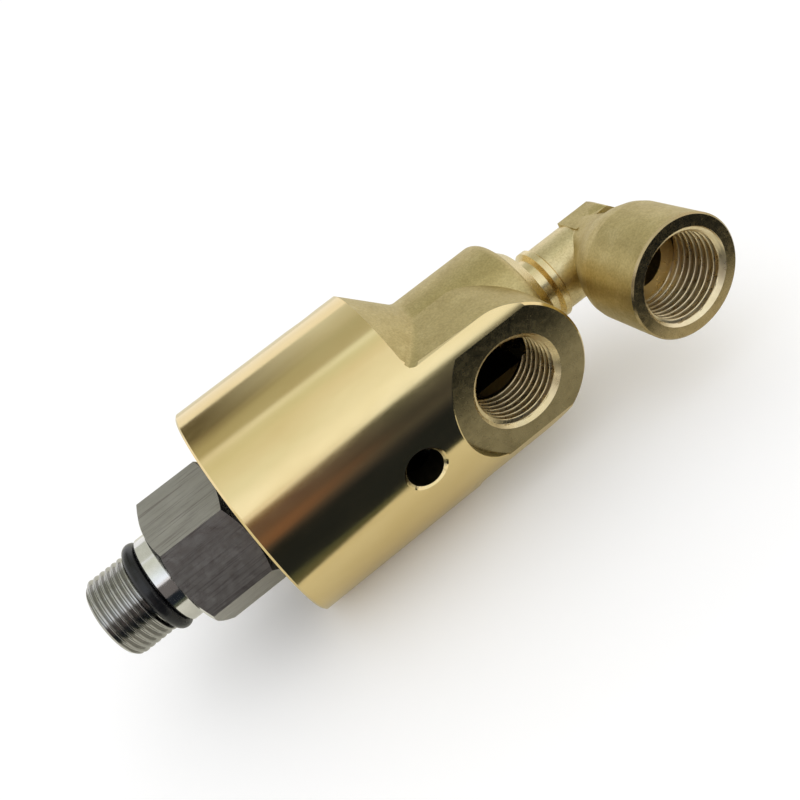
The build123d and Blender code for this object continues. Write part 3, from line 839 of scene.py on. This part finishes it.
def outline_beside(ball):
    """Places of a ball that rolls down the shoulder and along the neck, as (centre x, centre radius, seat x,
    seat radius)."""
    lean = SHOULDER_LEAN
    foot_x = BARREL_END_X + SHOULDER
    reach = hypot(SHOULDER, BARREL_R - NECK_R) - NECK_FILLET_REACH
    points = []
    for i in range(-BEFORE_EDGE, SLOPE_STEPS + 1):
        s = reach * i / SLOPE_STEPS
        x, r = BARREL_END_X + s * cos(lean), BARREL_R - s * sin(lean)
        points.append((x + ball * sin(lean), r + ball * cos(lean), x, r))
    centre_x, centre_r = foot_x + NECK_FILLET_REACH, NECK_R + NECK_FILLET
    for i in range(1, ROUND_STEPS + 1):
        a = lean * (1 - i / ROUND_STEPS)
        x, r = centre_x - NECK_FILLET * sin(a), centre_r - NECK_FILLET * cos(a)
        points.append((x + ball * sin(a), r + ball * cos(a), x, r))
    for i in range(1, NECK_STEPS + 1):
        x = centre_x + (PORT_X - centre_x) * i / NECK_STEPS
        points.append((x, NECK_R + ball, x, NECK_R))
    return points


def under_barrel(radius, low, high):
    """Where an arc's radius passes the barrel's, between a share inside it and one outside it."""
    if radius(high) <= BARREL_R:
        return high
    for _ in range(HALVINGS):
        middle = (low + high) / 2
        low, high = (middle, high) if radius(middle) <= BARREL_R else (low, middle)
    return low


for side, name in ((1, "lug_fillet_upper"), (-1, "lug_fillet_lower")):
    rows = []
    for ox, orad, cx, cr in outline_beside(BLEND):
        off = LUG_R + BLEND
        back = sqrt(orad * orad - off * off)
        centre = Vector((ox, -back, side * off))
        a = (Vector((ox, -back, side * LUG_R)) - centre).normalized()
        b = (Vector((cx, -cr * back / orad, side * cr * off / orad)) - centre).normalized()

        def radius(share):
            return hypot(*(centre + a.slerp(b, share) * BLEND).yz)

        lowest = min((i / SAMPLES for i in range(SAMPLES + 1)), key=radius)
        inside = radius(lowest) < BARREL_R
        first = under_barrel(radius, lowest, 0.0) if inside else lowest
        last = under_barrel(radius, lowest, 1.0) if inside else lowest
        shares = [first * k / CAP for k in range(CAP)]
        shares += [first + (last - first) * k / ARC for k in range(ARC + 1)]
        shares += [last + (1 - last) * k / CAP for k in range(1, CAP + 1)]
        row = []
        for share in shares:
            toward = a.slerp(b, share)
            p = centre + toward * BLEND
            trim = min(1.0, (BARREL_R + PROUD) / hypot(p.y, p.z))
            row.append((Vector((p.x, p.y * trim, p.z * trim)), -toward))
        rows.append(row)
    if side > 0:
        rows.reverse()
    across = len(rows[0])
    facts = [fact for row in rows for fact in row]
    faces, slopes, slots = [], [], []
    for i in range(len(rows) - 1):
        for j in range(across - 1):
            face = (i * across + j, i * across + j + 1, (i + 1) * across + j + 1, (i + 1) * across + j)
            corners = [facts[v][0] for v in face]
            if (corners[2] - corners[0]).cross(corners[3] - corners[1]).length < SPECK:
                continue
            cap = not CAP <= j < CAP + ARC
            faces.append(face)
            slots.append(int(cap))
            for v in face:
                place, slope = facts[v]
                slopes.append(Vector((0, place.y, place.z)).normalized() if cap else slope)
    mesh = bpy.data.meshes.new(name)
    mesh.from_pydata([place for place, slope in facts], [], faces)
    mesh.update()
    add_piece(name, mesh, FORGED, "housing", FILLET_SHARP_OVER)
    mesh.materials.append(TURNED)
    mesh.polygons.foreach_set("material_index", slots)
    mesh.normals_split_custom_set(slopes)

# ---- stage: its sheets' ends and distance in millimetres, and half the floor's side in metres ----

STAGE_LEFT, STAGE_RIGHT, STAGE_REACH = -600, 750, 560
FLOOR_Z = -BARREL_R
FLOOR_REACH = 30


def panel(name, corners, material):
    """A flat sheet of the stage."""
    mesh = bpy.data.meshes.new(name)
    mesh.from_pydata(corners, [], [tuple(range(len(corners)))])
    obj = bpy.data.objects.new(name, mesh)
    bpy.context.scene.collection.objects.link(obj)
    obj.data.materials.append(material)


def floor_finish():
    """Plain board: camera rays see it white with the object's shadow on it, the metal sees it warm grey."""
    m = bpy.data.materials.new("studio_floor")
    m.use_nodes = True
    t = m.node_tree
    shader = t.nodes["Principled BSDF"]
    shader.inputs["Roughness"].default_value = 0.9
    shader.inputs["Specular IOR Level"].default_value = 0.1
    path = t.nodes.new("ShaderNodeLightPath")
    tone = t.nodes.new("ShaderNodeMix")
    tone.data_type = "RGBA"
    tone.inputs[6].default_value = (0.76, 0.75, 0.65, 1)
    tone.inputs[7].default_value = (1, 1, 1, 1)
    t.links.new(path.outputs["Is Camera Ray"], tone.inputs[0])
    t.links.new(tone.outputs[2], shader.inputs["Base Color"])
    return m


floor_corners = [
    (x * FLOOR_REACH, y * FLOOR_REACH, FLOOR_Z) for x, y in ((-1, -1), (1, -1), (1, 1), (-1, 1))
]
panel("floor", floor_corners, floor_finish())


def glow_sheet(name, rows):
    """A studio sheet that only the metal's reflections show: rows of (place, colour), blended from each to
    the next."""
    across = len(rows[0])
    faces = []
    for i in range(len(rows) - 1):
        for j in range(across - 1):
            k = i * across + j
            faces.append((k, k + 1, k + across + 1, k + across))
    mesh = bpy.data.meshes.new(name)
    mesh.from_pydata([tuple(place) for row in rows for place, colour in row], [], faces)
    glow = mesh.color_attributes.new("glow", "FLOAT_COLOR", "POINT")
    for item, colour in zip(glow.data, [colour for row in rows for place, colour in row]):
        item.color = (*colour, 1)
    m = bpy.data.materials.new(name)
    m.use_nodes = True
    t = m.node_tree
    t.nodes.clear()
    out = t.nodes.new("ShaderNodeOutputMaterial")
    light = t.nodes.new("ShaderNodeEmission")
    tint = t.nodes.new("ShaderNodeVertexColor")
    tint.layer_name = "glow"
    t.links.new(tint.outputs["Color"], light.inputs["Color"])
    t.links.new(light.outputs[0], out.inputs["Surface"])
    mesh.materials.append(m)
    obj = bpy.data.objects.new(name, mesh)
    bpy.context.scene.collection.objects.link(obj)
    obj.visible_camera = False
    obj.visible_diffuse = False
    obj.visible_shadow = False
    obj.visible_transmission = False


# the black cloth on the floor, from its olive near edge and narrow hem outwards: distance in front of the
# axis at the mouth side and at the port side, and colour
OLIVE, HEM, CLOTH = (0.133, 0.130, 0.085), (0.070, 0.085, 0.060), (0.016, 0.020, 0.026)
card_z = FLOOR_Z + 0.4 * MM
CLOTH_ROWS = ((47, 63, OLIVE), (61, 66, HEM), (68, 67, CLOTH), (STAGE_REACH, STAGE_REACH, CLOTH))
rows = []
for y_mouth, y_port, colour in CLOTH_ROWS:
    places = ((STAGE_LEFT, y_mouth), (30, y_mouth), (86, y_port), (STAGE_RIGHT, y_port))
    rows.append([((x * MM, -y * MM, card_z), colour) for x, y in places])
glow_sheet("floor_cloth", rows)

# the tent over the object: angle in degrees and colour at the mouth side, then at the port side
TENT = (
    (-3, (0.045, 0.040, 0.045), -3, (0.022, 0.026, 0.035)),
    (0, (0.075, 0.060, 0.060), 1, (0.030, 0.032, 0.040)),
    (3, (0.20, 0.11, 0.080), 8, (0.079, 0.081, 0.085)),
    (8, (0.24, 0.13, 0.090), 12, (0.060, 0.060, 0.066)),
    (14, (0.155, 0.094, 0.080), 16, (0.055, 0.057, 0.062)),
    (21, (0.14, 0.082, 0.080), 23, (0.079, 0.083, 0.085)),
    (28, (0.24, 0.17, 0.11), 32, (0.10, 0.11, 0.10)),
    (29.5, (0.95, 0.90, 0.90), 33.5, (1.04, 1.12, 1.20)),
    (31.5, (1.08, 1.10, 1.20), 36, (1.06, 1.15, 1.28)),
    (32.5, (0.60, 0.52, 0.42), 37, (1.02, 1.08, 1.15)),
    (33.5, (1.10, 1.15, 1.25), 38, (1.05, 1.12, 1.22)),
    (42, (1.06, 1.12, 1.22), 44, (1.02, 1.08, 1.12)),
    (55, (0.90, 0.96, 0.95), 57, (0.97, 1.02, 1.04)),
    (68, (0.83, 0.85, 0.79), 68, (0.93, 0.97, 0.97)),
    (84, (0.75, 0.77, 0.66), 80, (0.84, 0.84, 0.78)),
    (92, (0.75, 0.77, 0.68), 91, (0.74, 0.80, 0.71)),
    (94, (0.87, 0.89, 0.87), 94, (0.89, 0.98, 1.00)),
    (97.5, (0.87, 0.89, 0.87), 97.5, (0.89, 0.98, 1.00)),
    (100, (0.47, 0.46, 0.33), 100, (0.55, 0.56, 0.48)),
    (108, (0.45, 0.44, 0.31), 108, (0.52, 0.53, 0.44)),
    (118, (0.26, 0.24, 0.17), 120, (0.50, 0.52, 0.43)),
    (123, (0.124, 0.110, 0.070), 126, (0.58, 0.60, 0.54)),
    (150, (0.110, 0.095, 0.060), 150, (0.69, 0.73, 0.72)),
)
# what stands beyond the mouth side, under and over these angles
TENT_LOW_END, LOW_FAR = 29, (0.16, 0.145, 0.14)
TENT_HIGH_START, HIGH_FAR = 100, (0.62, 0.63, 0.55)
rows = []
for mouth_angle, mouth_colour, port_angle, port_colour in TENT:
    far_colour = mouth_colour
    if mouth_angle >= TENT_HIGH_START:
        far_colour = HIGH_FAR
    elif mouth_angle < TENT_LOW_END:
        far_colour = LOW_FAR
    columns = (
        (STAGE_LEFT, mouth_angle, far_colour),
        (-65, mouth_angle, far_colour),
        (-34, mouth_angle, mouth_colour),
        (-10, mouth_angle, mouth_colour),
        (120, port_angle, port_colour),
        (STAGE_RIGHT, port_angle, port_colour),
    )
    rows.append([
        (polar(x * MM, STAGE_REACH * MM, radians(angle)), colour) for x, angle, colour in columns
    ])
glow_sheet("tent", rows)

WORLD_STRENGTH = 1.03
world = bpy.data.worlds.new("studio")
bpy.context.scene.world = world
world.use_nodes = True
background = world.node_tree.nodes["Background"]
background.inputs["Color"].default_value = (1, 1, 1, 1)
background.inputs["Strength"].default_value = WORLD_STRENGTH


def lamp(name, location, target, size, watts):
    """A white strip light that shines at a target."""
    data = bpy.data.lights.new(name, "AREA")
    data.shape = "RECTANGLE"
    data.size, data.size_y = size
    data.energy = watts
    obj = bpy.data.objects.new(name, data)
    bpy.context.scene.collection.objects.link(obj)
    obj.location = location
    obj.rotation_euler = (Vector(target) - Vector(location)).to_track_quat("-Z", "Y").to_euler()


lamp("key", location=(0.0, -0.50, 0.40), target=(0.07, 0, 0), size=(0.9, 0.12), watts=0.35)

# ---- camera: its place, the point it looks at, its roll in degrees and its focal length in mm ----

CAMERA_PLACE = (57.59 * MM, -157.02 * MM, 103.18 * MM)
CAMERA_TARGET = (79.11 * MM, 0, -0.80 * MM)
CAMERA_ROLL = -33.68
CAMERA_LENS = 36.76
camera_data = bpy.data.cameras.new("camera")
camera = bpy.data.objects.new("camera", camera_data)
bpy.context.scene.collection.objects.link(camera)
camera.location = CAMERA_PLACE
gaze = Vector(CAMERA_TARGET) - camera.location
camera.rotation_mode = "QUATERNION"
level = gaze.to_track_quat("-Z", "Y")
roll = Matrix.Rotation(radians(CAMERA_ROLL), 3, "Z").to_quaternion()
camera.rotation_quaternion = level @ roll
camera_data.lens = CAMERA_LENS
camera_data.sensor_width = 36
camera_data.clip_start = 0.005
camera_data.clip_end = 20
bpy.context.scene.camera = camera
bpy.context.scene.view_settings.view_transform = "Standard"
